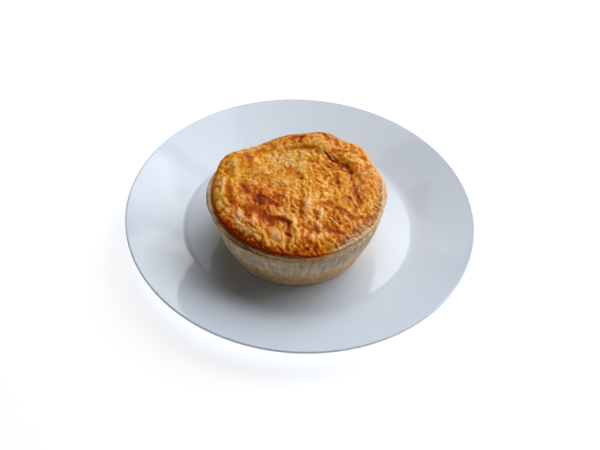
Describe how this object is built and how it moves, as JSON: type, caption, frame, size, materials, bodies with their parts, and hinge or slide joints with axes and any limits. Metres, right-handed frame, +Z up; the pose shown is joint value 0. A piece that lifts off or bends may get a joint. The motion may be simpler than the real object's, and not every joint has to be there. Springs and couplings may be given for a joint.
{
  "type": "chicken pot pie",
  "caption": "Round individual pot pie with a browned, blistered puff lid over a pale, sloping shortcrust case, standing uncut on a round white coupe dinner plate.",
  "frame": {"origin": "middle of the plate's footprint, on the surface it stands on", "axes": "+Z up, +X to the viewer's right, -Y towards the viewer, which is the pie's front"},
  "size_m": [0.25, 0.25, 0.051],
  "materials": {
    "white_opal_glass": "gloss",
    "pale_shortcrust": "matte, dry, baked",
    "browned_puff_pastry": "egg-washed, half gloss"
  },
  "bodies": {
    "root": {"plate": "white_opal_glass", "pastry_case": "pale_shortcrust", "pastry_lid": "browned_puff_pastry"}
  },
  "joints": []
}
